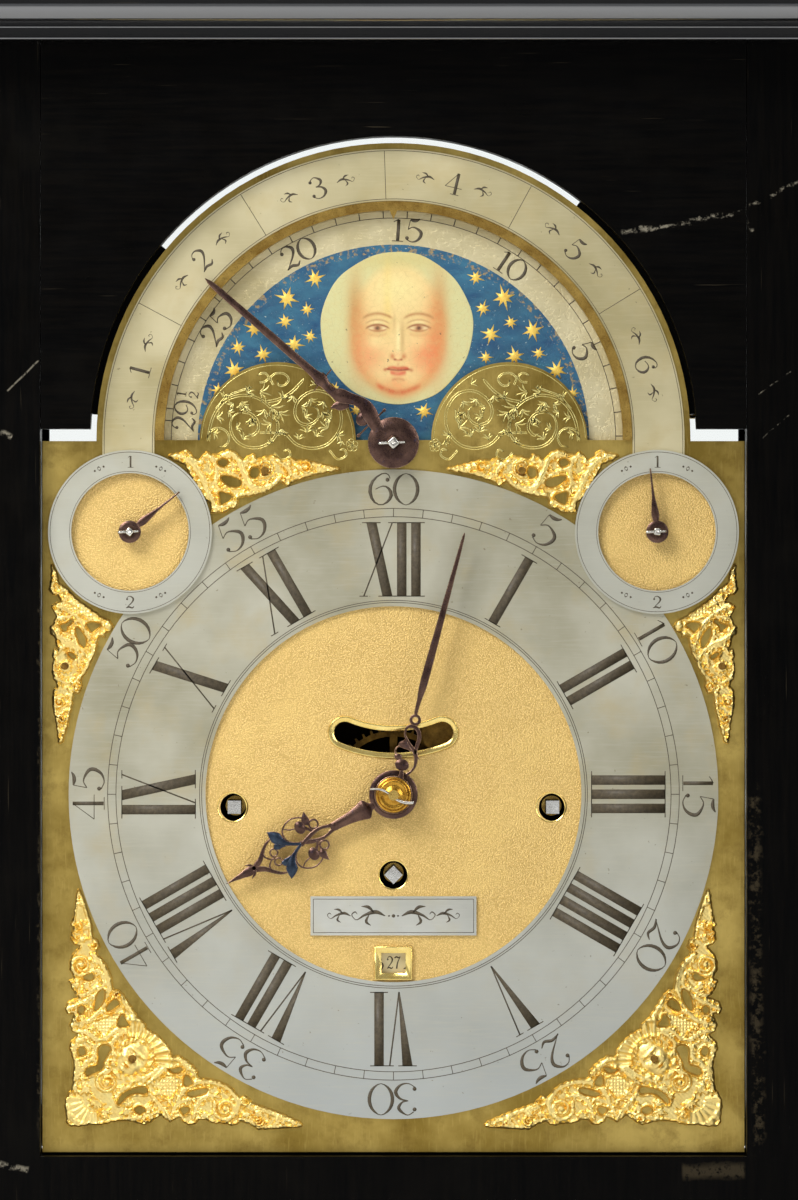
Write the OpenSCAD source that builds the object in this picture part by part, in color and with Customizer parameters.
// Bracket clock with an arched dial, a moon disc and three fusee trains.
// Millimetres. The origin is the middle of the base at the table, +Z is up and the dial faces -Y.

/* [Dial] */
// Width of the dial plate
dial_w = 203.2; // [198:0.2:208]
// Height of the dial plate's square part
dial_h = 205.8; // [202:0.2:210]
// Radius of the dial plate's arch
arch_r = 86; // [84:0.5:88]
// Height of the arch's centre over the centre of the hands
arch_z = 102.5; // [101:0.5:104]
// Thickness of the dial plate
dial_t = 2.5; // [2:0.1:3]
// Depth of the dial plate behind the front of the case
dial_setback = 7; // [6:0.5:9]
// Play between the dial plate and the wood around it
dial_play = 0.8; // [0.5:0.1:1.2]

/* [Rings] */
// Outer radius of the chapter ring
chapter_r = 94; // [93:0.5:95]
// Inner radius of the chapter ring
chapter_inner_r = 54.4; // [53:0.2:56]
// Thickness of the silvered rings
ring_t = 1.2; // [1:0.1:1.4]
// Outer radius of the two small rings
small_ring_r = 23.7; // [23:0.1:24.5]
// Inner radius of the two small rings
small_ring_inner_r = 17; // [16:0.1:18]
// Distance of the small rings from the clock's middle
small_ring_x = 76.2; // [75.5:0.1:77]
// Height of the small rings over the centre of the hands
small_ring_z = 75.9; // [75:0.1:77]
// Outer radius of the tune ring
tune_ring_r = 84.2; // [83.5:0.1:85]
// Inner radius of the tune ring
tune_ring_inner_r = 69.2; // [68:0.1:70]
// Width of the brass fillet inside the tune ring
bezel_w = 2.8; // [2.5:0.1:3.2]

/* [Openings in the dial] */
// Radius of the winding holes
winding_hole_r = 4.05; // [3.9:0.05:4.3]
// Distance of the two side winding holes from the middle
winding_x = 46.1; // [45.5:0.1:47]
// Drop of the two side winding holes under the centre of the hands
winding_drop = 3.8; // [3.4:0.1:4.2]
// Radius of the bob's path behind the curved slot
mock_r = 37.6; // [37:0.1:38.2]
// Width of the curved slot
slot_w = 6.4; // [6:0.1:7]
// Half angle that the curved slot spans
slot_angle = 22; // [20:0.5:24]
// Width of the date window
date_w = 7; // [6.4:0.1:7.6]
// Height of the date window
date_h = 5.8; // [5.4:0.1:6.2]
// Drop of the date window under the centre of the hands
date_drop = 48.9; // [48.5:0.1:49.3]
// Width of the name plate
name_w = 48; // [44:0.5:52]
// Height of the name plate
name_h = 11.3; // [10:0.1:12]
// Drop of the name plate under the centre of the hands
name_drop = 35.2; // [34.8:0.1:35.6]

/* [Moon and date discs] */
// Radius of the moon disc
moon_disc_r = 70; // [68.5:0.1:70.5]
// Distance of the two humps from the arch's centre
hump_x = 33.5; // [33:0.1:35]
// Radius of the two humps
hump_r = 22.6; // [21.5:0.1:23]
// Thickness of the moon and date discs
disc_t = 1.2; // [1:0.1:1.4]

/* [Hands] */
// Length of the minute hand
minute_len = 78.3; // [76:0.1:80]
// Length of the hour hand
hour_len = 54.8; // [52:0.1:56]
// Thickness of the hour and minute hands
hand_t = 1.6; // [1.4:0.1:1.8]
// Length of the tune hand
tune_len = 72.2; // [70:0.1:74]
// Length of the two small hands
small_hand_len = 18.4; // [17.5:0.1:19]
// Clockwise angle of the minute hand
minute_angle = 15.2; // [0:0.1:20]
// Clockwise angle of the hour hand
hour_angle = 241.9; // [235:0.1:250]
// Clockwise angle of the tune hand
tune_angle = -48.9; // [-55:0.1:-40]

/* [Case] */
// Height of the centre of the hands over the table
dial_z = 190; // [186:0.5:194]
// Width of the case
case_w = 282; // [276:1:290]
// Depth of the case
case_d = 170; // [166:1:180]
// Thickness of the front frame
front_t = 12; // [11:0.5:13]
// Thickness of the side walls
side_t = 10; // [8:0.5:12]
// Thickness of the back frame
back_t = 12; // [11:0.5:14]
// Width of the base moulding
base_w = 330; // [326:1:340]
// Depth of the base moulding
base_d = 232; // [230:1:240]
// Height of the base moulding
base_h = 50; // [46:1:52]
// Height of the feet
foot_h = 12; // [10:0.5:16]
// Radius of the feet
foot_r = 15; // [12:0.5:18]
// Height of the cornice's underside over the centre of the hands
cornice_z = 216.5; // [214:0.5:222]
// Height of the cornice
cornice_h = 30; // [29:0.5:34]
// Overhang of the cornice over the closed front door
cornice_out = 9; // [7:0.5:12]
// Thickness of the seat board
seat_t = 12; // [10:0.5:13]

/* [Doors] */
// Thickness of the front door
door_t = 18; // [17:0.5:19]
// Gap round the closed doors
door_gap = 0.6; // [0.5:0.1:0.9]
// Half width of the front door's opening
door_open_x = 99; // [97:0.5:101]
// Radius of the front door's arch
door_arch_r = 84; // [82:0.5:86]
// Angle at which the front door stands open
door_angle = 115; // [100:1:125]
// Thickness of the glass
glass_t = 2; // [1.6:0.1:2.4]
// Radius of the doors' pivot pins
door_pin_r = 1.5; // [1.2:0.1:1.8]
// Width of the back door's stiles
back_stile = 14; // [12:1:20]

/* [Top] */
// Radius of the bell top's hollow curve
bell_hollow_r = 26; // [24:0.5:28]
// Radius of the bell top's round curve
bell_round_r = 28; // [26:0.5:30]
// Thickness of the bell top's top slab
top_slab_t = 6; // [5:0.5:8]
// Half distance between the handle's posts
handle_x = 46; // [42:1:50]
// Height of the handle's pivot over the top slab
handle_pivot_h = 14; // [12:0.5:18]
// Radius of the handle's bar
handle_bar_r = 3.2; // [2.8:0.1:3.6]
// Reach of the handle from its pivot to its grip
handle_reach = 38; // [34:1:42]

/* [Movement] */
// Width of the movement's plates
plate_w = 150; // [148:1:152]
// Height of the plates' top over the centre of the hands
plate_top = 75; // [74:0.5:78]
// Thickness of the plates
plate_t = 3; // [2.6:0.1:3.4]
// Gap between the plates
plate_gap = 60; // [59:0.5:62]
// Gap between the dial and the front plate
dial_gap = 22; // [21.5:0.5:24]
// Radius of the winding arbors
winding_arbor_r = 2.9; // [2.8:0.05:3]
// Width of the winding squares
winding_square = 3.8; // [3.6:0.1:3.9]
// Radius of the thin arbors
arbor_r = 1.5; // [1.3:0.05:1.6]
// Play of an arbor in its hole
arbor_play = 0.05; // [0.03:0.01:0.08]
// Radius of the spring barrels
barrel_r = 22; // [20:0.5:22.5]
// Radius of the fusees' wide end
fusee_r = 18; // [16:0.5:18.5]
// Radius of the fusees' narrow end
fusee_small_r = 8; // [7:0.5:10]
// Turns of the fusees' groove
fusee_turns = 14; // [10:1:16]
// Length of the pendulum from its pivot to its bob
pendulum_len = 140; // [134:1:142]
// Radius of the pendulum's bob
bob_r = 18; // [16:0.5:20]

/* [Wheels] */
// Tooth size of the trains, pitch diameter over tooth count
train_m = 0.45; // [0.44:0.005:0.455]
// Teeth of a great wheel
great_n = 96; // [96]
// Leaves of the centre pinion and of its like
pinion_n = 8; // [8]
// Teeth of the centre wheel
centre_n = 84; // [84]
// Leaves of the contrate wheel's pinion
third_n = 7; // [7]
// Teeth of the contrate wheel
contrate_n = 72; // [72]
// Leaves of the crown wheel's pinion
crown_pinion_n = 6; // [6]
// Teeth of the crown wheel
crown_n = 31; // [31]
// Radius of the crown wheel
crown_r = 8.5; // [8:0.1:9]
// Tooth size of the contrate wheel
contrate_m = 0.36; // [0.35:0.005:0.37]
// Distance of the motion work's wheels from the centre
motion_d = 22; // [21.8:0.1:22.2]
// Direction of the minute wheel from the centre
motion_angle = 20; // [15:1:25]
// Teeth of the two wheels in each chain of the strike and chime trains
second_n = 72; // [72]

/* [Bells] */
// Radius of the hour bell
hour_bell_r = 40; // [36:1:42]
// Radius of the largest chime bell
chime_bell_r = 23; // [20:0.5:24]
// Number of chime bells
chime_bells = 6; // [4:1:7]
// Thickness of the bells' walls
bell_t = 1.6; // [1.2:0.1:2]

/* [Hidden] */
$fn = 64;
case_front = -case_d / 2;
case_back = case_d / 2;
dial_y = case_front + dial_setback;
dial_back = dial_y + dial_t;
ring_y = dial_y - ring_t;
small_ring_y = ring_y - ring_t;
plate_y = dial_back + dial_gap;
inner_y = plate_y + plate_t;
back_plate_y = inner_y + plate_gap;
movement_back = back_plate_y + plate_t;
dial_bottom = -dial_h / 2 - 0.7;
dial_top = dial_h / 2 - 0.7;
drawn_bottom = 103.6;
corner_shift = dial_bottom + drawn_bottom;
base_top = foot_h + base_h;
seat_top = base_top + seat_t;
case_top = dial_z + cornice_z;
opening_x = dial_w / 2 + dial_play / 2;
hole_r = arbor_r + arbor_play;
winding_hole_plate_r = winding_arbor_r + arbor_play;
hub_z = arch_z - 0.9;
moon_z = arch_z;
bezel_inner_r = tune_ring_inner_r - bezel_w;

// Places and small sizes of the case
case_inner_x = case_w / 2 - side_t;
case_inner_front = case_front + front_t;
case_inner_back = case_back - back_t;
ledge = 13;
window_x = 38;
window_bottom = -50;
window_spring = 80;
fret_t = 1.5;
shoulder_gap = 3.4;
mask_gap = 1.6;
block_t = 8;
block_w = 7;
pin_depth = 6;
rebate = 4;
glass_set = 8;
door_front = case_front - door_gap - door_t;
door_inset = 3;
door_pivot_x = case_w / 2 - door_inset;
door_pivot_y = door_front + door_inset;
cornice_x = case_w / 2 + cornice_out + 11;
cornice_y = -door_front + cornice_out;
back_gap = 1.2;
back_low = base_top + 14;
back_high = case_top - 7;
back_opening_x = case_w / 2 - 20;
back_rail = 7;
back_pin_r = 1.2;
back_inset = 2.2;
back_pivot_x = back_opening_x - back_gap - back_inset;
back_pivot_y = case_back - back_inset;
bell_set = 9;
bell_z = case_top + cornice_h;
slab_inset = 5 + bell_hollow_r + bell_round_r - 3;
bell_h = 4 + bell_hollow_r + bell_round_r + top_slab_t;
top_z = bell_z + bell_h;

// Places and small sizes of the dial and the hands
disc_gap = 0.3;
moon_pipe_r = 5;
pipe_len = 5;
small_arbor_r = 2.2;
hour_pipe_r = 4;
cannon_pipe_r = 2.6;
minute_bore_r = cannon_pipe_r;
collet_t = 3.4;
hour_y = dial_y - 5.2;
minute_y = dial_y - 8.8;
small_hand_y = dial_y - 5;
tune_hand_y = dial_y - 5.4;
spandrel_t = 2.2;
spandrel_screw_r = 0.8;
lobe_r = 0.9;
ornament_gap = 0.3;
ring_lap = 2;
mock_bob_r = 6;
pendulum_angle = 22;
date_edge_gap = 1.3;
date_disc_r = ((date_h + 1) / 2 - date_drop - dial_bottom - date_edge_gap) / 2;
dial_foot_x = 64;
dial_foot_top = 52;
dial_foot_bottom = -84;
date_z = dial_bottom + date_edge_gap + date_disc_r;

// Wheels of the motion work, and how far they lie behind the dial
cannon_n = 30;
minute_n = 60;
hour_n = 48;
minute_m = 2 * motion_d / (cannon_n + minute_n);
hour_m = 2 * motion_d / (pinion_n + hour_n);
motion_x = motion_d * cos(motion_angle);
motion_z = motion_d * sin(motion_angle);
hour_v = 6;
cannon_v = 9.6;

// Places of the trains' arbors, and how far their wheels lie behind the front plate
great_u = 6;
great_t = 2.5;
wheel_t = 2;
centre_u = 52;
second_u = 50;
contrate_u = 24;
fusee_len = 34;
barrel_len = 40;
going_z = -(great_n + pinion_n) / 2 * train_m;
second_z = -winding_drop + (great_n + pinion_n) / 2 * train_m;
pin_barrel_z = second_z + second_n * train_m;
contrate_z = (centre_n + third_n) / 2 * train_m;
contrate_r = contrate_n / 2 * contrate_m;
contrate_pitch = PI * contrate_m;
crown_y = inner_y + contrate_u + 3.5 - 0.6 * contrate_m + crown_pinion_n / 2 * contrate_m;
crown_pivot_r = 0.7;
crown_foot_z = 26;
crown_cock_z = 35.6;
cock_t = 2;
cock_front = 2.4;
verge_z = 52.7;
pendulum_y = movement_back + 9;
going_barrel_z = -70;
barrel_x = 52;
barrel_z = -62;
pin_drum_r = 12;
strike_pin_circle_r = second_n * train_m / 2 - 1.5;
hammer_x = -66;
hammer_z = 46;
plate_bottom = seat_top - dial_z;
fusee_places = [[0, going_z], [-winding_x, -winding_drop], [winding_x, -winding_drop]];
barrel_places = [[0, going_barrel_z], [-barrel_x, barrel_z], [barrel_x, barrel_z]];
thin_places = [
  [0, 0], [0, verge_z], [0, contrate_z], [-winding_x, second_z], [winding_x, second_z],
  [winding_x, pin_barrel_z], [hammer_x, hammer_z]
];
pillar_places = [[-68, -106], [68, -106], [0, -106], [-58, 66], [68, 66]];

// Places of the bells
bridge_y = -20;
hour_bell_x = -30;
bell_mouth_z = plate_top + 17;

// Colours
ebony = [0.08, 0.07, 0.06];
brass = [0.72, 0.58, 0.28];
gilt = [0.85, 0.7, 0.35];
silvered = [0.8, 0.78, 0.7];
steel = [0.4, 0.38, 0.38];
glass = [0.8, 0.88, 0.9, 0.3];
bell_metal = [0.75, 0.66, 0.42];
sky_blue = [0.2, 0.42, 0.56];

// Stands a flat drawing up in the dial's plane, with its front at y and t thick
module standing(y, t) {
  translate([0, y + t, dial_z])
    rotate([90, 0, 0])
      linear_extrude(t)
        children();
}

// A round rod along Y from y0 to y1, at x and z from the centre of the hands
module rod_y(x, z, r, y0, y1, fn = 48) {
  translate([x, y1, dial_z + z])
    rotate([90, 0, 0])
      cylinder(r = r, h = y1 - y0, $fn = fn);
}

// A point at radius r and clockwise angle a from the top
function clock(r, a) = [r * sin(a), r * cos(a)];

// A closed smooth outline through the points, with steps points to each stretch
function smooth(p, steps = 3) = [
  for (i = [0 : len(p) - 1])
    let (
      n = len(p),
      a = p[(i + n - 1) % n],
      b = p[i],
      c = p[(i + 1) % n],
      d = p[(i + 2) % n]
    )
      for (s = [0 : steps - 1])
        let (t = s / steps)
          0.5 * ((2 * b) + (c - a) * t + (2 * a - 5 * b + 4 * c - d) * t * t
            + (3 * b - a - 3 * c + d) * t * t * t)
];

// Points of an arc from angle a0 to a1 about c
function arc(c, r, a0, a1, n) = [
  for (i = [0 : n]) c + r * [cos(a0 + (a1 - a0) * i / n), sin(a0 + (a1 - a0) * i / n)]
];

// A flat ring
module ring(r, inner_r) {
  difference() {
    circle(r);
    circle(inner_r);
  }
}

// A flat toothed wheel with n narrow teeth, spokes arms and a hole
module wheel_2d(n, m, arms = 0, hole = 0, tall = 0.8, turn = 0) {
  pitch_r = n * m / 2;
  root_r = pitch_r - 1.1 * m * tall;
  tip_r = pitch_r + 0.75 * m * tall;
  half = 360 / n * 0.18;
  difference() {
    polygon([
      for (i = [0 : n - 1])
        for (p = [[root_r, -half], [tip_r, -half / 2], [tip_r, half / 2], [root_r, half]])
          clock(p[0], turn + i * 360 / n + p[1])
    ]);
    if (hole > 0)
      circle(hole);
    if (arms > 0)
      crossings(arms, root_r);
  }
}

// The gaps between a wheel's arms
module crossings(arms, root_r) {
  rim = 1.6;
  arm_w = 2.2;
  hub_r = max(3.6, root_r * 0.28);
  difference() {
    ring(root_r - rim, hub_r);
    for (i = [0 : arms - 1])
      rotate(i * 360 / arms)
        translate([-arm_w / 2, 0])
          square([arm_w, root_r]);
  }
}

// A wheel standing up on an arbor along Y, with its front at y
module wheel(x, z, y, t, n, m, arms = 0, hole = 0, tall = 0.8, turn = 0) {
  translate([x, 0, z])
    standing(y, t)
      wheel_2d(n, m, arms, hole, tall, turn);
}

// The outline of the dial plate, grown by g
module dial_outline(g = 0) {
  translate([-dial_w / 2 - g, dial_bottom - g])
    square([dial_w + 2 * g, dial_h + 2 * g]);
  translate([0, arch_z])
    circle(arch_r + g, $fn = 128);
}

// The opening that shows the moon disc, with its two humps left standing
module moon_opening() {
  difference() {
    translate([0, arch_z])
      intersection() {
        circle(bezel_inner_r, $fn = 128);
        translate([-bezel_inner_r, 0])
          square([2 * bezel_inner_r, bezel_inner_r]);
      }
    for (s = [-1, 1])
      translate([s * hump_x, arch_z])
        circle(hump_r);
    translate([0, hub_z])
      circle(6.2);
  }
}

// The curved slot in front of the mock pendulum's bob
module pendulum_slot() {
  translate([0, verge_z])
    polygon(concat(
      arc([0, 0], mock_r + slot_w / 2, 270 - slot_angle, 270 + slot_angle, 16),
      arc([0, 0], mock_r - slot_w / 2, 270 + slot_angle, 270 - slot_angle, 16)
    ));
  for (s = [-1, 1])
    translate([mock_r * sin(s * slot_angle), verge_z - mock_r * cos(slot_angle)])
      circle(slot_w / 2);
}

// A moulding's section turned along both pairs of sides, so that its corners are mitred
module mitred(half_x, half_y, inset, z) {
  section_x = concat(
    [for (p = inset) [half_x - p[0], p[1]]],
    [for (i = [len(inset) - 1 : -1 : 0]) [-half_x + inset[i][0], inset[i][1]]]
  );
  section_y = concat(
    [for (p = inset) [half_y - p[0], p[1]]],
    [for (i = [len(inset) - 1 : -1 : 0]) [-half_y + inset[i][0], inset[i][1]]]
  );
  intersection() {
    translate([0, half_y, z])
      rotate([90, 0, 0])
        linear_extrude(2 * half_y)
          polygon(section_x);
    translate([-half_x, 0, z])
      rotate([90, 0, 90])
        linear_extrude(2 * half_x)
          polygon(section_y);
  }
}

// The base's section as insets from its widest part, from the bottom up
function base_section(plinth_h, step, hollow) = concat(
  [[0, 0], [0, plinth_h], [step, plinth_h], [step, plinth_h + step]],
  [
    for (i = [0 : 8])
      let (a = i * 90 / 8)
        [step + hollow * (1 - cos(a)), plinth_h + step + hollow * sin(a)]
  ],
  [[step + hollow, base_h - 3], [step + hollow - 2, base_h - 3], [step + hollow - 2, base_h]]
);

// The open middle of the base and of the cornice
module hollow_middle(z, h) {
  half_x = case_inner_x - ledge;
  half_y = case_d / 2 - front_t - ledge;
  translate([-half_x, -half_y, z])
    cube([2 * half_x, 2 * half_y, h]);
}

// Four turned feet
module feet() {
  foot_x = base_w / 2 - foot_r - 8;
  foot_y = base_d / 2 - foot_r - 8;
  round_r = foot_h / 2 - 1;
  color(gilt)
    for (sx = [-1, 1], sy = [-1, 1])
      translate([sx * foot_x, sy * foot_y, 0])
        rotate_extrude()
          polygon(concat(
            [[0, 0], [foot_r * 0.7, 0]],
            arc([foot_r - round_r, round_r + 0.5], round_r, -70, 70, 8),
            [[foot_r * 0.7, foot_h - 1], [foot_r * 0.8, foot_h], [0, foot_h]]
          ));
}

// The stepped base with its hollow middle, under the case and the front door
module base_moulding() {
  plinth_h = 24;
  step = 3;
  hollow = base_h - plinth_h - step - 6;
  color(ebony)
    difference() {
      mitred(base_w / 2, base_d / 2, base_section(plinth_h, step, hollow), foot_h);
      hollow_middle(foot_h - 1, base_h + 2);
      door_axis()
        translate([0, 0, base_top - pin_depth])
          cylinder(r = door_pin_r + arbor_play, h = pin_depth + 1, $fn = 32);
    }
}

// The floor of the case, which carries the movement
module seat_board() {
  color(ebony)
    translate([-case_inner_x, case_inner_front, base_top])
      cube([2 * case_inner_x, case_inner_back - case_inner_front, seat_t]);
}

// The arched window in a side wall, grown by g
module side_window(g = 0) {
  translate([-window_x - g, window_bottom - g])
    square([2 * window_x + 2 * g, window_spring - window_bottom + g]);
  translate([0, window_spring])
    circle(window_x + g);
}

// Stands a flat drawing up in the plane of the side walls, t thick from x
module side_standing(x, t) {
  translate([x, 0, dial_z])
    rotate([90, 0, 90])
      linear_extrude(t)
        children();
}

// A side wall, on the left for s = -1
module side_panel(s) {
  color(ebony)
    side_standing(s > 0 ? case_inner_x : -case_w / 2, side_t)
      difference() {
        translate([case_inner_front, base_top - dial_z])
          square([case_inner_back - case_inner_front, case_top - base_top]);
        side_window();
      }
}

module left_side_panel() {
  side_panel(-1);
}

module right_side_panel() {
  side_panel(1);
}

// The two pierced frets on the inner faces of the side walls
module side_frets() {
  pitch = 11;
  fret_hole_r = 3.9;
  rows = floor((window_spring + window_x - window_bottom) / (pitch * 0.87));
  cols = floor(window_x / pitch);
  color(brass)
    for (s = [-1, 1])
      side_standing(s > 0 ? case_inner_x - fret_t : -case_inner_x, fret_t)
        difference() {
          side_window(5);
          for (j = [0 : rows], i = [-cols : cols]) {
            x = (i + (j % 2) / 2) * pitch;
            z = window_bottom + 4 + j * pitch * 0.87;
            arch = max(0, z - window_spring);
            if (sqrt(x * x + arch * arch) < window_x - fret_hole_r)
              translate([x, z])
                circle(fret_hole_r, $fn = 24);
          }
        }
}

// The stiles and the sill round the dial
module front_frame() {
  low = base_top - dial_z;
  lip_room = 0.5;
  color(ebony)
    standing(case_front, front_t) {
      for (s = [-1, 1])
        translate([s > 0 ? opening_x : -case_w / 2, low])
          square([case_w / 2 - opening_x, case_top - base_top]);
      translate([-opening_x, low])
        square([2 * opening_x, dial_bottom - dial_play - low]);
    }
  // A lip behind the dial plate's lower edge, which closes the gap over the sill
  color(ebony)
    standing(dial_back + lip_room, case_front + front_t - dial_back - lip_room)
      translate([-opening_x - 1, low])
        square([2 * opening_x + 2, dial_bottom + date_edge_gap - disc_gap - 0.2 - low]);
}

// The head board with its arched opening, and the curved blocks glued behind it
module dial_mask() {
  side_gap = 0.2;
  mask_t = 8;
  block_y = dial_back + 0.6;
  color(ebony) {
    standing(case_front, mask_t)
      difference() {
        translate([-opening_x + side_gap, dial_top + shoulder_gap])
          square([2 * (opening_x - side_gap), cornice_z - dial_top - shoulder_gap]);
        translate([0, arch_z])
          circle(arch_r + mask_gap, $fn = 128);
      }
    for (a = [[5, 52], [140, 175]]) {
      standing(case_front + mask_t - 0.5, block_t)
        mask_block(arch_r + mask_gap + 0.2, a[0], a[1]);
      standing(block_y, case_front + mask_t - 0.5 + block_t - block_y)
        mask_block(arch_r - 2, a[0], a[1]);
    }
  }
}

// A curved block from the radius inner_r outward, between the angles a0 and a1
module mask_block(inner_r, a0, a1) {
  far = 2 * arch_r;
  middle = (a0 + a1) / 2;
  translate([0, arch_z])
    intersection() {
      ring(arch_r + block_w, inner_r);
      polygon([
        [0, 0], far * [cos(a0), sin(a0)], far * [cos(middle), sin(middle)], far * [cos(a1), sin(a1)]
      ]);
    }
}

// The rear frame with its opening for the back door
module back_frame() {
  color(ebony)
    difference() {
      standing(case_back - back_t, back_t)
        difference() {
          translate([-case_w / 2, base_top - dial_z])
            square([case_w, case_top - base_top]);
          back_opening();
        }
      back_door_axis() {
        translate([0, 0, back_low - pin_depth])
          cylinder(r = back_pin_r + arbor_play, h = pin_depth + 1, $fn = 32);
        translate([0, 0, back_high - 1])
          cylinder(r = back_pin_r + arbor_play, h = pin_depth + 1, $fn = 32);
      }
    }
}

// The opening in the rear frame, made smaller by g
module back_opening(g = 0) {
  translate([-back_opening_x + g, back_low - dial_z + g])
    square([2 * (back_opening_x - g), back_high - back_low - 2 * g]);
}

// The cornice's section as insets from its widest part, from the bottom up
function cornice_section() = concat(
  [[8.4, 0], [8.4, 1.4], [7.6, 1.4], [7.6, 4.2], [6.6, 4.2], [6.6, 7.2]],
  [for (i = [0 : 6]) let (a = i * 90 / 6) [6.6 - 3 * sin(a), 9.8 - 2.6 * cos(a)]],
  [[2.6, 9.8], [2.6, 12.2]],
  [for (i = [0 : 6]) let (a = i * 90 / 6) [2.6 - 2.6 * (1 - cos(a)), 12.2 + 8 * sin(a)]],
  [[0, cornice_h - 5], [3, cornice_h - 5], [3, cornice_h]]
);

// The moulding under the top, with its hollow middle
module cornice() {
  color(ebony)
    difference() {
      mitred(cornice_x, cornice_y, cornice_section(), case_top);
      hollow_middle(case_top - 1, cornice_h + 2);
      door_axis()
        translate([0, 0, case_top - 1])
          cylinder(r = door_pin_r + arbor_play, h = pin_depth + 1, $fn = 32);
    }
}

// The hollow curve below and the round curve above of the top, as insets
function bell_section() = concat(
  [[0, 0], [0, 4]],
  [
    for (i = [0 : 10])
      let (a = i * 9)
        [2 + bell_hollow_r * sin(a), 4 + bell_hollow_r * (1 - cos(a))]
  ],
  [
    for (i = [0 : 10])
      let (a = i * 9)
        [
          5 + bell_hollow_r + bell_round_r * (1 - cos(a)),
          4 + bell_hollow_r + bell_round_r * sin(a)
        ]
  ],
  [
    [slab_inset, 4 + bell_hollow_r + bell_round_r],
    [slab_inset, 4 + bell_hollow_r + bell_round_r + top_slab_t]
  ]
);

// The bell-shaped top, hollow inside
module bell_top() {
  inner_h = bell_h - top_slab_t - 4;
  wall = 6;
  inner_half_x = cornice_x - bell_set - slab_inset - wall;
  inner_half_y = cornice_y - bell_set - slab_inset - wall;
  color(ebony)
    difference() {
      mitred(cornice_x - bell_set, cornice_y - bell_set, bell_section(), bell_z);
      translate([-inner_half_x, -inner_half_y, bell_z - 1])
        cube([2 * inner_half_x, 2 * inner_half_y, inner_h + 1]);
    }
}

// The two posts that the handle turns in
module handle_posts() {
  color(brass)
    for (s = [-1, 1])
      translate([s * handle_x, 0, top_z])
        difference() {
          union() {
            cylinder(r = 9, h = 2.5);
            translate([0, 0, 2.5])
              cylinder(r1 = 7, r2 = 4.4, h = 3);
            cylinder(r = 4.4, h = handle_pivot_h);
            translate([0, 0, handle_pivot_h])
              sphere(r = 5.6);
          }
          translate([-10, 0, handle_pivot_h])
            rotate([0, 90, 0])
              cylinder(r = handle_bar_r + arbor_play, h = 20, $fn = 48);
        }
}

// The bail, lying back on the top
module carry_handle() {
  bend_r = 9;
  arm_x = handle_x + 8 + bend_r;
  color(brass)
    translate([0, 0, top_z + handle_pivot_h])
      rotate([-90, 0, 0])
        union() {
          for (s = [0, 1])
            mirror([s, 0, 0]) {
              translate([handle_x - 7.5, 0, 0])
                rotate([0, 90, 0])
                  cylinder(r = handle_bar_r, h = 15.5, $fn = 48);
              translate([handle_x - 9.5, 0, 0])
                rotate([0, 90, 0])
                  cylinder(r = handle_bar_r + 1.5, h = 2.5);
              translate([handle_x + 8, 0, bend_r])
                handle_bend(bend_r, -90);
              translate([arm_x, 0, bend_r])
                cylinder(r = handle_bar_r, h = handle_reach - 2 * bend_r, $fn = 48);
              translate([handle_x + 8, 0, handle_reach - bend_r])
                handle_bend(bend_r, 0);
            }
          translate([0, 0, handle_reach])
            rotate([0, 90, 0])
              handle_grip(handle_x + 8);
        }
}

// The handle's turned grip, with a large knop between two small ones
module handle_grip(half) {
  rotate_extrude($fn = 48)
    polygon(concat(
      [[0, -half], [handle_bar_r, -half]],
      [
        for (k = [[-14, 1.2, 3], [0, 2.2, 4.4], [14, 1.2, 3]], i = [0 : 6])
          [handle_bar_r + k[1] * sin(i * 30), k[0] + k[2] * (i - 3) / 3]
      ],
      [[handle_bar_r, half], [0, half]]
    ));
}

// A quarter bend of the handle's bar, from angle a
module handle_bend(bend_r, a) {
  rotate([90, 0, 0])
    rotate([0, 0, a])
      rotate_extrude(angle = 90)
        translate([bend_r, 0])
          circle(handle_bar_r, $fn = 48);
}

// Moves children to the front door's pivot line
module door_axis() {
  translate([door_pivot_x, door_pivot_y, 0])
    children();
}

// Moves children to the back door's pivot line
module back_door_axis() {
  translate([back_pivot_x, back_pivot_y, 0])
    children();
}

// Turns the closed front door to where it stands
module opened() {
  door_axis()
    rotate([0, 0, door_angle])
      translate([-door_pivot_x, -door_pivot_y, 0])
        children();
}

// The front door's arched opening, grown by g
module door_opening(g = 0) {
  translate([-door_open_x - g, dial_bottom + 4 - g])
    square([2 * (door_open_x + g), dial_h - 8 + 2 * g]);
  translate([0, arch_z])
    circle(door_arch_r + g, $fn = 128);
}

// The glazed front door with its bead, keyhole plate and knob
module front_door() {
  low = base_top + door_gap - dial_z;
  high = case_top - door_gap - dial_z;
  glass_front = door_front + glass_set;
  opened() {
    color(ebony)
      difference() {
        standing(door_front, door_t)
          difference() {
            translate([-case_w / 2, low])
              square([case_w, high - low]);
            door_opening();
          }
        standing(glass_front, door_t)
          door_opening(rebate);
        door_axis() {
          translate([0, 0, dial_z + low - 1])
            cylinder(r = door_pin_r + arbor_play, h = pin_depth + 1, $fn = 32);
          translate([0, 0, dial_z + high - pin_depth])
            cylinder(r = door_pin_r + arbor_play, h = pin_depth + 1, $fn = 32);
        }
      }
    color(brass) {
      standing(door_front + 2, glass_set - 2)
        difference() {
          door_opening(-0.3);
          door_opening(-3);
        }
      translate([-case_w / 2 + 20, 0, 0])
        standing(door_front - 1, 1)
          difference() {
            circle(8);
            circle(1.6);
          }
    }
  }
}

// The pane in the front door's rebate
module front_door_glass() {
  color(glass)
    opened()
      standing(door_front + glass_set, glass_t)
        door_opening(rebate - 0.3);
}

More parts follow.
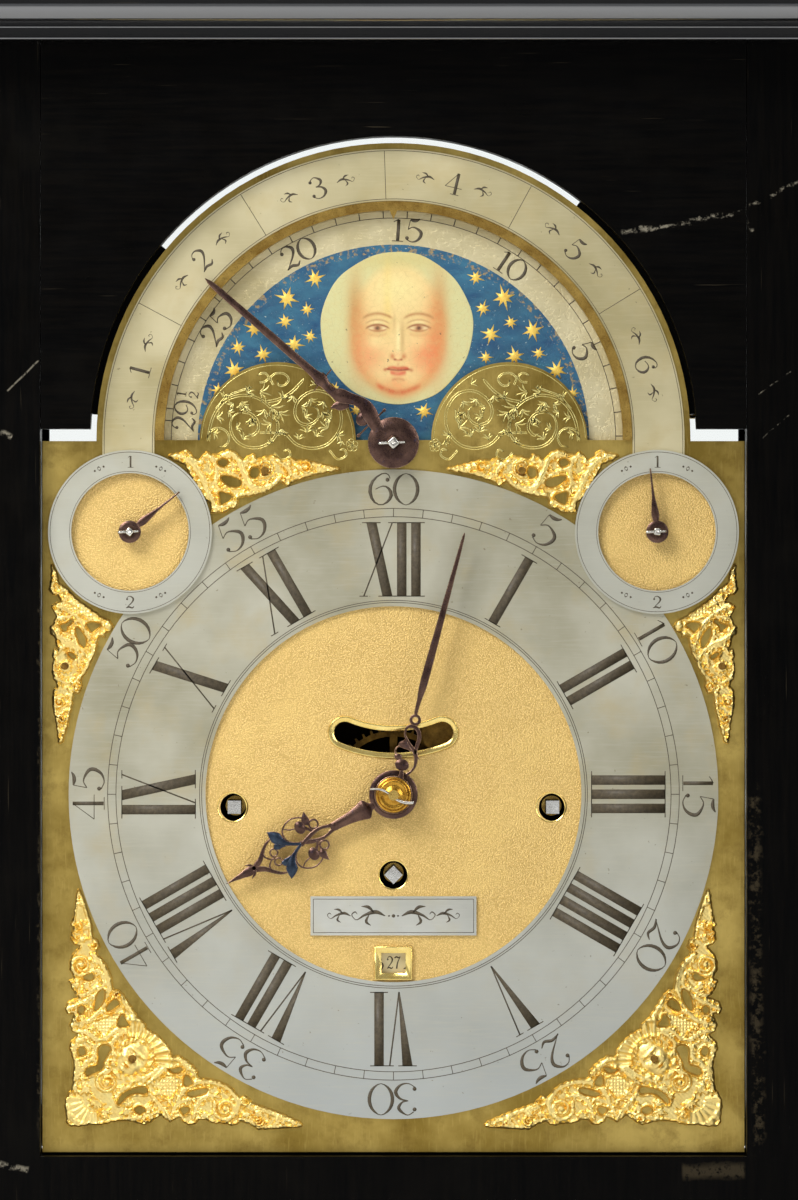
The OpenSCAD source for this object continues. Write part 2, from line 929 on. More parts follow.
// The pivot pins of both doors, with the washers that the doors stand on
module door_hinges() {
  washer_t = 0.4;
  color(brass) {
    door_axis() {
      translate([0, 0, base_top - pin_depth + 0.5])
        cylinder(r = door_pin_r, h = 2 * pin_depth - 1, $fn = 32);
      translate([0, 0, base_top])
        cylinder(r = door_pin_r + 1.2, h = washer_t);
      translate([0, 0, case_top - pin_depth + 0.5])
        cylinder(r = door_pin_r, h = 2 * pin_depth - 1, $fn = 32);
    }
    back_door_axis() {
      translate([0, 0, back_low - pin_depth + 0.5])
        cylinder(r = back_pin_r, h = 2 * pin_depth - 1, $fn = 32);
      translate([0, 0, back_low])
        cylinder(r = back_pin_r + 0.8, h = 2 * washer_t);
      translate([0, 0, back_high - pin_depth + 0.5])
        cylinder(r = back_pin_r, h = 2 * pin_depth - 1, $fn = 32);
    }
  }
}

// The back door's glazed opening, grown by g
module back_glazing(g = 0) {
  translate([-back_opening_x + back_stile - g, back_low - dial_z + back_stile - g])
    square([
      2 * (back_opening_x - back_stile + g),
      back_high - back_low - back_stile - back_rail + 2 * g
    ]);
}

// The glazed back door, with its latch knob
module back_door() {
  door_depth = back_t - 1;
  color(ebony)
    difference() {
      standing(case_back - door_depth, door_depth)
        difference() {
          back_opening(back_gap);
          back_glazing();
        }
      standing(case_back - door_depth - 1, door_depth - 3)
        back_glazing(rebate);
      back_door_axis() {
        translate([0, 0, back_low])
          cylinder(r = back_pin_r + arbor_play, h = pin_depth + back_gap, $fn = 32);
        translate([0, 0, back_high - pin_depth - back_gap])
          cylinder(r = back_pin_r + arbor_play, h = pin_depth + back_gap + 1, $fn = 32);
      }
    }
  color(brass)
    rod_y(-back_opening_x + back_stile / 2, 0, 4, case_back, case_back + 6);
}

// The pane in the back door
module back_door_glass() {
  color(glass)
    standing(case_back - 4 - glass_t, glass_t)
      back_glazing(rebate - 0.3);
}

// The brass plate with all its openings and the moon disc's pipe behind it
module dial_plate() {
  color(brass)
    difference() {
      union() {
        standing(dial_y, dial_t)
          difference() {
            dial_outline();
            moon_opening();
            pendulum_slot();
            translate([-date_w / 2, -date_drop - date_h / 2])
              square([date_w, date_h]);
          }
        rod_y(0, moon_z, moon_pipe_r, dial_back - 0.5, dial_back + pipe_len);
        rod_y(0, date_z, arbor_r + 1, dial_back - 0.5, dial_back + pipe_len);
      }
      rod_y(0, 0, hour_pipe_r + 0.9, dial_y - 1, dial_back + 1);
      for (s = [-1, 1]) {
        rod_y(s * winding_x, -winding_drop, winding_hole_r, dial_y - 1, dial_back + 1);
        rod_y(s * small_ring_x, small_ring_z, small_arbor_r, dial_y - 1, dial_back + 1);
      }
      rod_y(0, going_z, winding_hole_r, dial_y - 1, dial_back + 1);
      rod_y(0, hub_z, small_arbor_r, dial_y - 1, dial_back + pipe_len + 1);
    }
}

module chapter_ring() {
  color(silvered)
    difference() {
      standing(ring_y, ring_t)
        ring(chapter_r, chapter_inner_r);
      for (s = [-1, 1])
        rod_y(s * small_ring_x, small_ring_z, small_ring_inner_r + ring_lap, ring_y - 1, dial_y + 1, 96);
    }
}

// A small ring over the chapter ring, with feet down to the plate, on the left for s = -1
module small_ring(s) {
  color(silvered)
    translate([s * small_ring_x, 0, small_ring_z]) {
      standing(small_ring_y, ring_t)
        ring(small_ring_r, small_ring_inner_r);
      standing(ring_y - 0.2, ring_t + 0.2)
        for (a = [90, -45, 135])
          translate(clock((small_ring_r + small_ring_inner_r) / 2, s * a))
            circle(1.5, $fn = 24);
    }
}

module strike_ring() {
  small_ring(-1);
}

module chime_ring() {
  small_ring(1);
}

// The half ring in the arch, with its two straight ends
module tune_ring() {
  leg = 8;
  color(silvered)
    standing(ring_y, ring_t)
      translate([0, arch_z])
        polygon(concat(
          [[tune_ring_r, -leg]],
          arc([0, 0], tune_ring_r, 0, 180, 96),
          [[-tune_ring_r, -leg], [-tune_ring_inner_r, -leg]],
          arc([0, 0], tune_ring_inner_r, 180, 0, 96),
          [[tune_ring_inner_r, -leg]]
        ));
}

// The fillet round the moon's opening, with the pointer to the moon's age
module moon_bezel() {
  color(brass)
    standing(ring_y - 0.5, ring_t + 0.5)
      translate([0, arch_z]) {
        difference() {
          circle(tune_ring_inner_r - 0.1, $fn = 128);
          circle(bezel_inner_r, $fn = 128);
          translate([-tune_ring_inner_r, -tune_ring_inner_r])
            square([2 * tune_ring_inner_r, tune_ring_inner_r]);
        }
        polygon([
          [-1.3, bezel_inner_r + 0.5],
          [0, bezel_inner_r - 2.6],
          [1.3, bezel_inner_r + 0.5]
        ]);
      }
}

// The bare plate for a name
module name_plate() {
  color(silvered)
    standing(dial_y - 1, 1)
      translate([-name_w / 2, -name_drop - name_h / 2])
        square([name_w, name_h]);
}

// The bevelled frame round the date window
module date_bezel() {
  rim = 1.9;
  color(gilt)
    standing(dial_y - 1.6, 1.6)
      translate([0, -date_drop])
        difference() {
          square([date_w + 2 * rim, date_h + 2 * rim], center = true);
          square([date_w, date_h], center = true);
        }
}

// The lower corner ornament on the right side, round a mask, as points from the centre of the hands
corner_outline = [
  [91, -28], [93.6, -42], [93, -55], [94.8, -62], [93.4, -72], [94.6, -89], [94.8, -96.2],
  [70, -95.2], [64.7, -93.6], [59, -96], [38, -97], [27, -95.6], [36, -91.2], [46, -85.9],
  [51.5, -84.6], [57, -81.6], [60.5, -77.6], [66, -74.4], [71.2, -69.2], [75.9, -63.6],
  [80, -57.8], [82.7, -50], [86, -42], [89.4, -31]
];
corner_holes = [
  [88.2, -52.7, 1.6], [84.8, -60, 1.4], [90.2, -62.6, 1.2], [78.6, -66.2, 1.5],
  [90.2, -74.1, 1.8], [84.2, -78, 1.3], [63.4, -80.4, 1.5], [59.5, -84, 1.3],
  [75.7, -88, 1.8], [57.2, -88.6, 1.5], [67, -88, 1.2]
];

// The ornament over the chapter ring, on the right side
top_outline = [
  [65.3, 98.2], [60.7, 99.4], [57.5, 97.6], [54.9, 99], [49.1, 99.4], [45.6, 97.6],
  [41, 98.4], [35.2, 97.9], [31.4, 96.4], [25, 96.6], [15.2, 94.6], [23.3, 93],
  [29.1, 91.8], [33, 90.4], [38.5, 88.4], [44.1, 86.4], [48.2, 84.4], [51.4, 82.4],
  [54.9, 86], [57.4, 90.3], [60.7, 94.7]
];
top_holes = [[49.8, 94, 1.5], [46.6, 89.4, 1.4], [40.4, 94, 1.3], [54.4, 92.8, 1.3]];

// The ornament beside the chapter ring, on the right side
side_outline = [
  [99.2, 66], [99.4, 58], [98.6, 48], [98.8, 38], [98.6, 26], [96.4, 15], [93.6, 25],
  [91, 31], [88.4, 37], [86.6, 43], [83.8, 47], [82, 50.5], [84.6, 55], [90.6, 60]
];
side_holes = [[94.8, 50, 1.5], [90.6, 46, 1.4], [94.4, 30, 1.1], [90.4, 54, 1.4]];

// One cast ornament on the dial plate, on the left for s = -1, with round lobes along its edge
module spandrel(s, outline, holes, screw) {
  standing(dial_y - spandrel_t, spandrel_t)
    scale([s, 1])
      difference() {
        union() {
          polygon(smooth(outline));
          for (i = [0 : len(outline) - 1])
            translate(outline[i])
              circle(lobe_r * (0.8 + 0.2 * (i % 3)), $fn = 16);
        }
        for (h = holes)
          translate([h[0], h[1]])
            circle(h[2], $fn = 24);
        translate(screw)
          circle(spandrel_screw_r, $fn = 24);
      }
}

corner_screw = [75.4, -76.4];
top_screw = [37.2, 93.6];
side_screw = [95, 37.1];

module corner_spandrels() {
  color(gilt)
    difference() {
      translate([0, 0, corner_shift])
        for (s = [-1, 1])
          spandrel(s, corner_outline, corner_holes, corner_screw);
      rod_y(0, 0, chapter_r + ornament_gap, dial_y - spandrel_t - 1, dial_y + 1, 128);
    }
}

module top_spandrels() {
  color(gilt)
    for (s = [-1, 1])
      difference() {
        spandrel(s, top_outline, top_holes, top_screw);
        small_ring_room(s);
      }
}

// Keeps an ornament clear of a small ring
module small_ring_room(s) {
  rod_y(
    s * small_ring_x, small_ring_z, small_ring_r + ornament_gap,
    dial_y - spandrel_t - 1, dial_y + 1, 96
  );
}

module side_spandrels() {
  color(gilt)
    for (s = [-1, 1])
      difference() {
        spandrel(s, side_outline, side_holes, side_screw);
        small_ring_room(s);
      }
}

// The screws that hold the ornaments
module spandrel_screws() {
  color(steel)
    for (s = [-1, 1], p = [corner_screw + [0, corner_shift], top_screw, side_screw]) {
      rod_y(s * p[0], p[1], spandrel_screw_r - 0.05, dial_y - spandrel_t - 0.9, dial_y, 24);
      difference() {
        rod_y(s * p[0], p[1], spandrel_screw_r + 0.3, dial_y - spandrel_t - 0.9, dial_y - spandrel_t, 24);
        translate([s * p[0] - 3, dial_y - spandrel_t - 1.4, dial_z + p[1] - 0.2])
          cube([6, 1, 0.4]);
      }
    }
}

// The four pillars between the dial and the movement
module dial_feet() {
  color(brass)
    for (s = [-1, 1], z = [dial_foot_top, dial_foot_bottom]) {
      rod_y(s * dial_foot_x, z, 3, dial_back, plate_y);
      rod_y(s * dial_foot_x, z, 4.4, plate_y - 2, plate_y);
    }
}

// The painted disc with two moons, on the pipe behind the dial
module moon_disc() {
  color(sky_blue)
    difference() {
      rod_y(0, moon_z, moon_disc_r, dial_back + disc_gap, dial_back + disc_gap + disc_t, 128);
      rod_y(0, moon_z, moon_pipe_r + arbor_play, dial_back, dial_back + disc_gap + disc_t + 1);
    }
}

// The disc with the days of the month, on its stud behind the dial
module date_disc() {
  color(silvered)
    difference() {
      rod_y(0, date_z, date_disc_r, dial_back + disc_gap, dial_back + disc_gap + disc_t, 96);
      rod_y(0, date_z, arbor_r + 1 + arbor_play, dial_back, dial_back + disc_gap + disc_t + 1);
    }
}

// Lays a hand's drawing, which points up, at clockwise angle a with its front at y
module hand_at(x, z, a, y, t) {
  translate([x, 0, z])
    standing(y, t)
      rotate(-a)
        children();
}

// The pierced scroll base and the long straight blade of the minute hand
module minute_hand_2d() {
  ring(6.4, minute_bore_r);
  difference() {
    polygon(smooth([
      [-1.6, 5.6], [-2.6, 8.6], [-3.6, 10.6], [-2.2, 12.4], [-3.2, 15], [-1.6, 16.4],
      [-1.9, 19.4], [-0.7, 21.2], [1, 21.2], [2, 19], [2.2, 16], [4, 13.4], [4.2, 10.4], [2, 6]
    ]));
    translate([0.6, 12])
      circle(1.9, $fn = 24);
    translate([0, 18])
      scale([0.7, 1])
        circle(1.7, $fn = 24);
  }
  translate([0, 22.2])
    ring(1.75, 1);
  polygon([[-1.1, 23.4], [-0.35, minute_len], [0.35, minute_len], [1.1, 23.4]]);
}

// The pierced scrolls and the arrow of the hour hand
module hour_hand_2d() {
  difference() {
    union() {
      circle(7);
      polygon(smooth([
        [1.8, 5.4], [2.5, 9.4], [1.6, 15], [1.1, 24], [1, 28.6], [-1, 28.6], [-1.1, 24],
        [-1.6, 15], [-2.5, 9.4], [-1.8, 5.4]
      ]));
      for (s = [-1, 1]) {
        translate([s * 4.3, 30.4])
          circle(3.9);
        translate([s * 3, 25.4])
          circle(2.2);
        translate([s * 2.1, 39])
          circle(2.4);
      }
      polygon([
        [0, 31.6], [3.4, 33], [6.4, 37.4], [3.2, 36.8], [0, 38.6],
        [-3.2, 36.8], [-6.4, 37.4], [-3.4, 33]
      ]);
      polygon([
        [0, 42.4], [3.1, 46.8], [2.4, 47.8], [0, 46.6], [-2.4, 47.8], [-3.1, 46.8]
      ]);
      translate([-0.8, 27])
        square([1.6, 16]);
      polygon([[1.3, 41], [1, 47], [0.3, hour_len], [-0.3, hour_len], [-1, 47], [-1.3, 41]]);
    }
    circle(hour_pipe_r);
    for (s = [-1, 1], h = [[4.3, 30.4, 2.8], [3, 25.4, 1.2], [2.1, 39, 1.1]])
      translate([s * h[0], h[1]])
        circle(h[2], $fn = 32);
  }
}

// The small scrolled hand in the arch
module tune_hand_2d() {
  circle(6.6);
  polygon(smooth([
    [-2, 5.6], [-1.6, 9], [-2.2, 12.6], [-0.8, 15], [-2.4, 18.6], [-1, 21.4], [-2.2, 24.4],
    [-1, 28], [0.9, 28], [1.6, 24.4], [1, 21.4], [2.2, 18], [1.2, 15], [3, 12.6], [2, 9], [2, 5.6]
  ]));
  polygon([[-1, 27], [-0.3, tune_len], [0.3, tune_len], [1, 27]]);
}

// The plain leaf-shaped small hand
module small_hand_2d() {
  circle(3.2);
  polygon([
    [-1, 2.6], [-1.7, 5.6], [-1, 9], [-0.3, small_hand_len],
    [0.3, small_hand_len], [1, 9], [1.7, 5.6], [1, 2.6]
  ]);
}

// The minute hand, with the domed collet and the taper pin that hold it
module minute_hand() {
  pin_y = minute_y - collet_t + 1.3;
  color(steel)
    hand_at(0, 0, minute_angle, minute_y, hand_t)
      minute_hand_2d();
  color(brass)
    difference() {
      translate([0, minute_y, dial_z])
        rotate([90, 0, 0])
          union() {
            cylinder(r = 5.2, h = 0.8);
            translate([0, 0, 0.8])
              cylinder(r1 = 4.4, r2 = 3, h = collet_t - 0.8);
          }
      rod_y(0, 0, arbor_r, minute_y - collet_t - 1, minute_y + 1);
      translate([0, pin_y, dial_z])
        rotate([0, 106, 0])
          cylinder(r = 0.55, h = 20, center = true, $fn = 24);
    }
  color(steel)
    translate([0, pin_y, dial_z])
      rotate([0, 106, 0])
        difference() {
          cylinder(r = 0.5, h = 12, center = true, $fn = 24);
          cylinder(r = 0.7, h = 2 * arbor_r + 0.2, center = true, $fn = 24);
        }
}

module hour_hand() {
  color(steel)
    hand_at(0, 0, hour_angle, hour_y, hand_t)
      hour_hand_2d();
}

// A small hand on its own arbor through the dial, with a lever behind
module arbor_hand(x, z, a, y, lever_len) {
  hand_at(x, z, a, y, hand_t)
    children();
  rod_y(x, z, small_arbor_r - arbor_play, y - 2, dial_back + pipe_len + 4);
  rod_y(x, z, small_arbor_r + 1.2, y + hand_t, dial_y - 0.3);
  hand_at(x, z, a + 180, dial_back + pipe_len + 1, 2)
    hull() {
      circle(small_arbor_r + 1, $fn = 24);
      translate([0, lever_len])
        circle(1.5, $fn = 24);
    }
}

module strike_hand() {
  color(steel)
    arbor_hand(-small_ring_x, small_ring_z, 51.3, small_hand_y, 9)
      small_hand_2d();
}

module chime_hand() {
  color(steel)
    arbor_hand(small_ring_x, small_ring_z, -6.3, small_hand_y, 9)
      small_hand_2d();
}

module tune_hand() {
  color(steel)
    arbor_hand(0, hub_z, tune_angle, tune_hand_y, 9)
      tune_hand_2d();
}

// Turns what hangs from the verge to where the pendulum is held
module swung() {
  translate([0, 0, dial_z + verge_z])
    rotate([0, -pendulum_angle, 0])
      translate([0, 0, -dial_z - verge_z])
        children();
}

// The bob behind the curved slot, on the verge's front end
module mock_pendulum() {
  arm_y = dial_back + 2.6;
  color(brass)
    swung()
      difference() {
        union() {
          rod_y(0, verge_z - mock_r, mock_bob_r, dial_back + 1, dial_back + 2.4);
          rod_y(0, verge_z - mock_r, 1.6, dial_back + 2, arm_y + 1.4);
          rod_y(0, verge_z, 4, arm_y, arm_y + 3);
          translate([-1.3, arm_y, dial_z + verge_z - mock_r])
            cube([2.6, 1.4, mock_r]);
        }
        rod_y(0, verge_z, arbor_r, arm_y - 1, arm_y + 4);
      }
}

// A movement plate with its holes, from y
module movement_plate(y, front) {
  fusee_hole = front ? winding_hole_plate_r : hole_r;
  difference() {
    standing(y, plate_t)
      translate([-plate_w / 2, plate_bottom])
        square([plate_w, plate_top - plate_bottom]);
    for (p = fusee_places)
      rod_y(p[0], p[1], fusee_hole, y - 1, y + plate_t + 1);
    for (p = barrel_places)
      rod_y(p[0], p[1], winding_hole_plate_r, y - 1, y + plate_t + 1);
    for (p = thin_places)
      rod_y(p[0], p[1], hole_r, y - 1, y + plate_t + 1);
  }
}

module front_plate() {
  color(brass)
    movement_plate(plate_y, true);
  color(steel)
    rod_y(motion_x, motion_z, arbor_r, dial_back + hour_v, plate_y);
}

// The back plate, with the two cocks that hold the crown wheel's upright arbor
module back_plate() {
  color(brass) {
    movement_plate(back_plate_y, false);
    for (z = [crown_foot_z, crown_cock_z])
      difference() {
        translate([-5, crown_y - cock_front, dial_z + z])
          cube([10, back_plate_y - crown_y + cock_front + plate_t / 2, cock_t]);
        translate([0, crown_y, dial_z + z - 1])
          cylinder(r = crown_pivot_r + arbor_play, h = cock_t + 2, $fn = 32);
      }
  }
}

// The pillars that join the two plates
module movement_pillars() {
  color(brass)
    for (p = pillar_places) {
      rod_y(p[0], p[1], 3.2, inner_y, back_plate_y);
      for (y = [inner_y, back_plate_y - 3])
        rod_y(p[0], p[1], 4.6, y, y + 3);
      rod_y(p[0], p[1], 4.6, (inner_y + back_plate_y) / 2 - 3, (inner_y + back_plate_y) / 2 + 3);
    }
}

// A grooved fusee with its great wheel and winding square
module fusee(x, z, turn) {
  cone_y = inner_y + great_u + great_t + 2;
  pitch = fusee_len / fusee_turns;
  square_back = plate_y - 6;
  square_front = dial_y + 0.6;
  color(brass)
    union() {
      wheel(x, z, inner_y + great_u, great_t, great_n, train_m, 6);
      rod_y(x, z, 5, inner_y + great_u, cone_y + 1);
      translate([x, cone_y + fusee_len, dial_z + z])
        rotate([90, 0, 0])
          rotate_extrude()
            polygon(concat(
              [[0, 0], [fusee_r, 0]],
              [
                for (i = [0 : fusee_turns - 1])
                  let (r = fusee_r - (fusee_r - fusee_small_r) * pow(i / fusee_turns, 0.8))
                    each [[r, i * pitch + 0.4], [r - 0.7, (i + 0.6) * pitch]]
              ],
              [[fusee_small_r, fusee_len], [0, fusee_len]]
            ));
      rod_y(x, z, winding_arbor_r, square_back, back_plate_y - 1);
      rod_y(x, z, arbor_r, back_plate_y - 2, movement_back + 0.5);
      translate([x, (square_front + square_back + 1) / 2, dial_z + z])
        rotate([0, turn, 0])
          cube([winding_square, square_back + 1 - square_front, winding_square], center = true);
    }
}

module going_fusee() {
  fusee(0, going_z, 45);
}

module strike_fusee() {
  fusee(-winding_x, -winding_drop, 0);
}

module chime_fusee() {
  fusee(winding_x, -winding_drop, 0);
}

// A spring barrel with its caps and arbor
module barrel(p) {
  barrel_y = inner_y + 10;
  color(brass)
    union() {
      rod_y(p[0], p[1], barrel_r - 0.6, barrel_y, barrel_y + barrel_len);
      for (y = [barrel_y, barrel_y + barrel_len - 2.5])
        rod_y(p[0], p[1], barrel_r, y, y + 2.5);
      rod_y(p[0], p[1], 5, barrel_y - 2, barrel_y + barrel_len + 2);
      rod_y(p[0], p[1], winding_arbor_r, plate_y - 1, movement_back + 1);
    }
}

module going_barrel() {
  barrel([0, going_barrel_z]);
}

module strike_barrel() {
  barrel([-barrel_x, barrel_z]);
}

module chime_barrel() {
  barrel([barrel_x, barrel_z]);
}

// An arbor between the plates with a pinion in front and a wheel behind
module arbor_pair(x, z, pinion, pinion_turn, n, arms, turn, wheel_u) {
  rod_y(x, z, arbor_r, plate_y - 0.5, movement_back + 0.5);
  wheel(x, z, inner_y + great_u - 2, great_t + 4, pinion, train_m, 0, 0, 0.8, pinion_turn);
  wheel(x, z, inner_y + wheel_u, wheel_t, n, train_m, arms, 0, 0.8, turn);
  rod_y(x, z, 3.2, inner_y + wheel_u - 1.5, inner_y + wheel_u + wheel_t + 1);
}

// The centre arbor, with its pinion and wheel and the cannon pipe that carries the minute hand
module centre_wheel() {
  color(brass)
    union() {
      arbor_pair(0, 0, pinion_n, 180 / pinion_n, centre_n, 5, 0, centre_u);
      rod_y(0, 0, arbor_r, minute_y - collet_t - 0.8, plate_y);
      rod_y(0, 0, cannon_pipe_r, minute_y, dial_back + cannon_v + 3.5);
      wheel(0, 0, dial_back + cannon_v, 2.8, cannon_n, minute_m, 0, 0, 0.8, 90 - motion_angle);
    }
}

// The contrate wheel, whose teeth point backwards at the upright arbor. Its own arbor has
// a neck where the teeth of the centre wheel pass
module contrate_wheel() {
  tooth = 2;
  neck_r = 0.9;
  neck_room = 0.5;
  rim_r = contrate_r + 1;
  step = 360 / contrate_n;
  color(brass)
    union() {
      rod_y(0, contrate_z, arbor_r, plate_y - 0.5, inner_y + centre_u - neck_room);
      rod_y(0, contrate_z, neck_r, inner_y + centre_u - 1, inner_y + centre_u + wheel_t + 1);
      rod_y(0, contrate_z, arbor_r, inner_y + centre_u + wheel_t + neck_room, movement_back + 0.5);
      wheel(0, contrate_z, inner_y + centre_u - 2, wheel_t + 4, third_n, train_m);
      rod_y(0, contrate_z, 3.2, inner_y + contrate_u - 3, inner_y + contrate_u + 1.5);
      translate([0, 0, contrate_z])
        standing(inner_y + contrate_u, 1.5)
          difference() {
            circle(rim_r);
            crossings(4, rim_r);
          }
      translate([0, 0, contrate_z])
        standing(inner_y + contrate_u + 1.2, tooth + 0.3)
          for (i = [0 : contrate_n - 1])
            rotate(-i * step)
              translate([-contrate_pitch * 0.12, contrate_r - 1])
                square([contrate_pitch * 0.24, 1.9]);
    }
}

// The crown wheel on its upright arbor, with its pinion in the contrate wheel
module crown_wheel() {
  band = 3;
  tooth_h = 4;
  color(brass)
    translate([0, crown_y, dial_z]) {
      translate([0, 0, crown_foot_z + 0.3])
        cylinder(r = crown_pivot_r, h = crown_cock_z + cock_t + 1 - crown_foot_z, $fn = 32);
      translate([0, 0, contrate_z + contrate_r - 1.3])
        linear_extrude(2.6)
          wheel_2d(crown_pinion_n, contrate_m, turn = 180 + 180 / crown_pinion_n);
      translate([0, 0, crown_cock_z + cock_t + 0.4])
        cylinder(r = 2.6, h = 2);
      translate([0, 0, crown_cock_z + cock_t + 0.6])
        linear_extrude(1.2)
          difference() {
            circle(crown_r);
            crossings(3, crown_r);
          }
      translate([0, 0, crown_cock_z + cock_t + 0.6]) {
        linear_extrude(band)
          ring(crown_r, crown_r - 0.9);
        for (i = [0 : crown_n - 1])
          rotate(i * 360 / crown_n)
            translate([crown_r - 0.85, 0, band - 0.1])
              rotate([90, 0, 90])
                linear_extrude(0.8)
                  polygon([[-0.5, 0], [0.4, 0], [0.55, tooth_h], [0.35, tooth_h]]);
      }
    }
}

// The verge with its two pallets over the crown wheel
module verge() {
  flag = 5.6;
  spread = 48;
  color(steel)
    swung()
      union() {
        rod_y(0, verge_z, arbor_r, dial_back + 2.2, pendulum_y + 4);
        for (s = [-1, 1])
          translate([0, crown_y + s * (crown_r - 0.5), dial_z + verge_z])
            rotate([0, s * spread, 0])
              translate([-0.4, -1, -flag])
                cube([0.8, 2, flag]);
      }
}

// The rod and the lens-shaped bob on the verge's back end
module pendulum() {
  bob_t = 9;
  color(brass)
    swung()
      difference() {
        union() {
          rod_y(0, verge_z, 4.2, pendulum_y - 2.5, pendulum_y + 2.5);
          translate([0, pendulum_y, dial_z + verge_z - pendulum_len - bob_r - 4])
            cylinder(r = 1.5, h = pendulum_len + bob_r + 4, $fn = 32);
          translate([0, pendulum_y, dial_z + verge_z - pendulum_len - bob_r - 4])
            cylinder(r = 3, h = 4);
          translate([0, pendulum_y, dial_z + verge_z - pendulum_len])
            rotate([90, 0, 0])
              rotate_extrude($fn = 64)
                polygon([
                  [0, -bob_t / 2], [bob_r * 0.5, -bob_t * 0.42], [bob_r * 0.85, -bob_t * 0.24],
                  [bob_r, -0.8], [bob_r, 0.8], [bob_r * 0.85, bob_t * 0.24],
                  [bob_r * 0.5, bob_t * 0.42], [0, bob_t / 2]
                ]);
        }
        rod_y(0, verge_z, arbor_r, pendulum_y - 4, pendulum_y + 5);
      }
}

// The minute wheel with its pinion, on its stud
module minute_wheel() {
  pinion_v = hour_v - 0.5;
  color(brass)
    difference() {
      union() {
        wheel(
          motion_x, motion_z, dial_back + cannon_v + 0.4, 2, minute_n, minute_m, 4, 0, 0.8,
          270 - motion_angle + 180 / minute_n
        );
        wheel(
          motion_x, motion_z, dial_back + pinion_v, cannon_v + 0.6 - pinion_v, pinion_n, hour_m,
          0, 0, 0.8, 270 - motion_angle + 180 / pinion_n
        );
        rod_y(motion_x, motion_z, 3.4, dial_back + cannon_v + 0.4, dial_back + cannon_v + 3.4);
      }
      rod_y(motion_x, motion_z, hole_r, dial_back + 1, plate_y);
    }
}

// The hour wheel with the pipe that carries the hour hand
module hour_wheel() {
  color(brass)
    difference() {
      union() {
        wheel(0, 0, dial_back + hour_v, 2.5, hour_n, hour_m, 5, 0, 0.8, 90 - motion_angle);
        rod_y(0, 0, hour_pipe_r, hour_y - 0.4, dial_back + hour_v + 2.5);
        rod_y(0, 0, hour_pipe_r + 1.4, dial_back + hour_v - 1, dial_back + hour_v + 2.5);
      }
      rod_y(0, 0, cannon_pipe_r + arbor_play, hour_y - 1, dial_back + hour_v + 4);
    }
}

// The second wheel of the strike train, whose pins lift the hammer
module strike_pin_wheel() {
  pins = 8;
  color(brass)
    union() {
      arbor_pair(-winding_x, second_z, pinion_n, 180 / pinion_n, second_n, 5, 0, second_u);
      for (i = [0 : pins - 1])
        let (p = clock(strike_pin_circle_r, i * 360 / pins))
          rod_y(
            -winding_x + p[0], second_z + p[1], 0.8,
            inner_y + second_u - 3.5, inner_y + second_u + 0.5, 16
          );
    }
}

// The hammer of the hour bell, on its arbor between the plates
module hour_hammer() {
  head_z = bell_mouth_z + 4;
  head_x = hour_bell_x - hour_bell_r - 5.4;
  lean = atan2(head_x - hammer_x, head_z - hammer_z);
  reach = norm([head_x - hammer_x, head_z - hammer_z]);
  tail = atan2(-winding_x - hammer_x, second_z - hammer_z);
  tail_len = norm([-winding_x - hammer_x, second_z - hammer_z]) - strike_pin_circle_r - 2.2;
  color(steel)
    union() {
      rod_y(hammer_x, hammer_z, arbor_r, plate_y - 0.5, movement_back + 0.5);
      rod_y(hammer_x, hammer_z, 3, bridge_y - 3, bridge_y + 3);
      rod_y(hammer_x, hammer_z, 3, inner_y + second_u - 3.4, inner_y + second_u - 0.8);
      hand_at(hammer_x, hammer_z, lean, bridge_y - 1.2, 2.4)
        translate([-1.2, 0])
          square([2.4, reach]);
      hand_at(hammer_x, hammer_z, tail, inner_y + second_u - 3.2, 2.2)
        translate([-1.2, 0])
          square([2.4, tail_len]);
      translate([head_x - 3.5, bridge_y, dial_z + head_z])
        rotate([0, 90, 0])
          cylinder(r = 5, h = 8);
    }
}

// A thin round bell, mouth down
module bell(r) {
  difference() {
    sphere(r);
    sphere(r - bell_t);
    translate([-r - 1, -r - 1, -r - 1])
      cube([2 * r + 2, 2 * r + 2, r + 1]);
  }
}

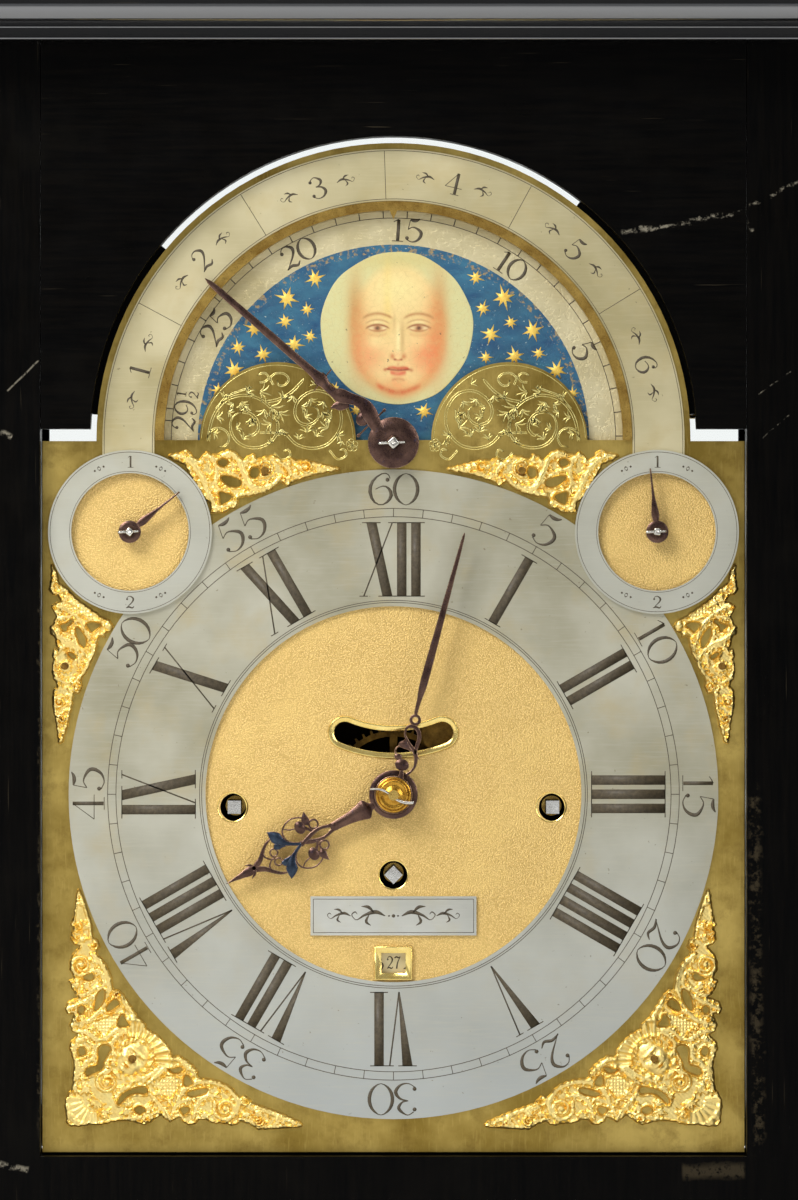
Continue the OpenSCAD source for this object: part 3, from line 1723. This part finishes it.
// The hour bell and the nest of chime bells on their stands
module bells() {
  nest_x = 16;
  nest_z = plate_top + chime_bell_r + 14;
  spacing = 9.5;
  color(bell_metal)
    union() {
      for (x = [hour_bell_x, nest_x - 4])
        translate([x - 4, plate_y, dial_z + plate_top])
          cube([8, movement_back - plate_y, 5]);
      translate([hour_bell_x, bridge_y, dial_z + plate_top + 2]) {
        cylinder(r = 2.5, h = bell_mouth_z - plate_top - 2 + hour_bell_r + 4);
        translate([0, 0, bell_mouth_z - plate_top - 2 + hour_bell_r - bell_t])
          cylinder(r = 5, h = 5, $fn = 6);
      }
      translate([hour_bell_x, bridge_y, dial_z + bell_mouth_z])
        bell(hour_bell_r);
      translate([nest_x - 4, bridge_y, dial_z + plate_top + 2])
        cylinder(r = 3, h = nest_z - plate_top);
      translate([nest_x - 7, bridge_y, dial_z + nest_z])
        rotate([0, 90, 0])
          cylinder(r = 2, h = chime_bell_r + (chime_bells - 1) * spacing + 10);
      for (i = [0 : chime_bells - 1])
        translate([nest_x + chime_bell_r + i * spacing, bridge_y, dial_z + nest_z])
          rotate([0, -90, 0])
            bell(chime_bell_r - i * 1.3);
    }
}

// The second wheel of the chime train
module chime_second_wheel() {
  color(brass)
    arbor_pair(winding_x, second_z, pinion_n, 180 / pinion_n, second_n, 5, 0, second_u);
}

// The pinned drum that works the chime
module pin_barrel() {
  rows = 6;
  pins = 6;
  drum_y = inner_y + 8;
  drum_len = 38;
  color(brass)
    union() {
      rod_y(winding_x, pin_barrel_z, arbor_r, plate_y - 0.5, movement_back + 0.5);
      rod_y(winding_x, pin_barrel_z, pin_drum_r, drum_y, drum_y + drum_len);
      wheel(
        winding_x, pin_barrel_z, inner_y + second_u, wheel_t, second_n, train_m,
        5, 0, 0.8, 180 / second_n
      );
      for (i = [0 : rows - 1], j = [0 : pins - 1])
        translate([winding_x, drum_y + (i + 0.5) * drum_len / rows, dial_z + pin_barrel_z])
          rotate([0, j * 360 / pins + i * 35, 0])
            cylinder(r = 0.6, h = pin_drum_r + 1.2, $fn = 12);
    }
}

feet();
base_moulding();
seat_board();
left_side_panel();
right_side_panel();
side_frets();
front_frame();
dial_mask();
back_frame();
cornice();
bell_top();
handle_posts();
carry_handle();
front_door();
front_door_glass();
door_hinges();
back_door();
back_door_glass();
dial_plate();
chapter_ring();
strike_ring();
chime_ring();
tune_ring();
moon_bezel();
name_plate();
date_bezel();
corner_spandrels();
top_spandrels();
side_spandrels();
spandrel_screws();
dial_feet();
moon_disc();
date_disc();
minute_hand();
hour_hand();
strike_hand();
chime_hand();
tune_hand();
mock_pendulum();
front_plate();
back_plate();
movement_pillars();
going_fusee();
going_barrel();
strike_fusee();
strike_barrel();
chime_fusee();
chime_barrel();
centre_wheel();
contrate_wheel();
crown_wheel();
verge();
pendulum();
minute_wheel();
hour_wheel();
strike_pin_wheel();
hour_hammer();
bells();
chime_second_wheel();
pin_barrel();
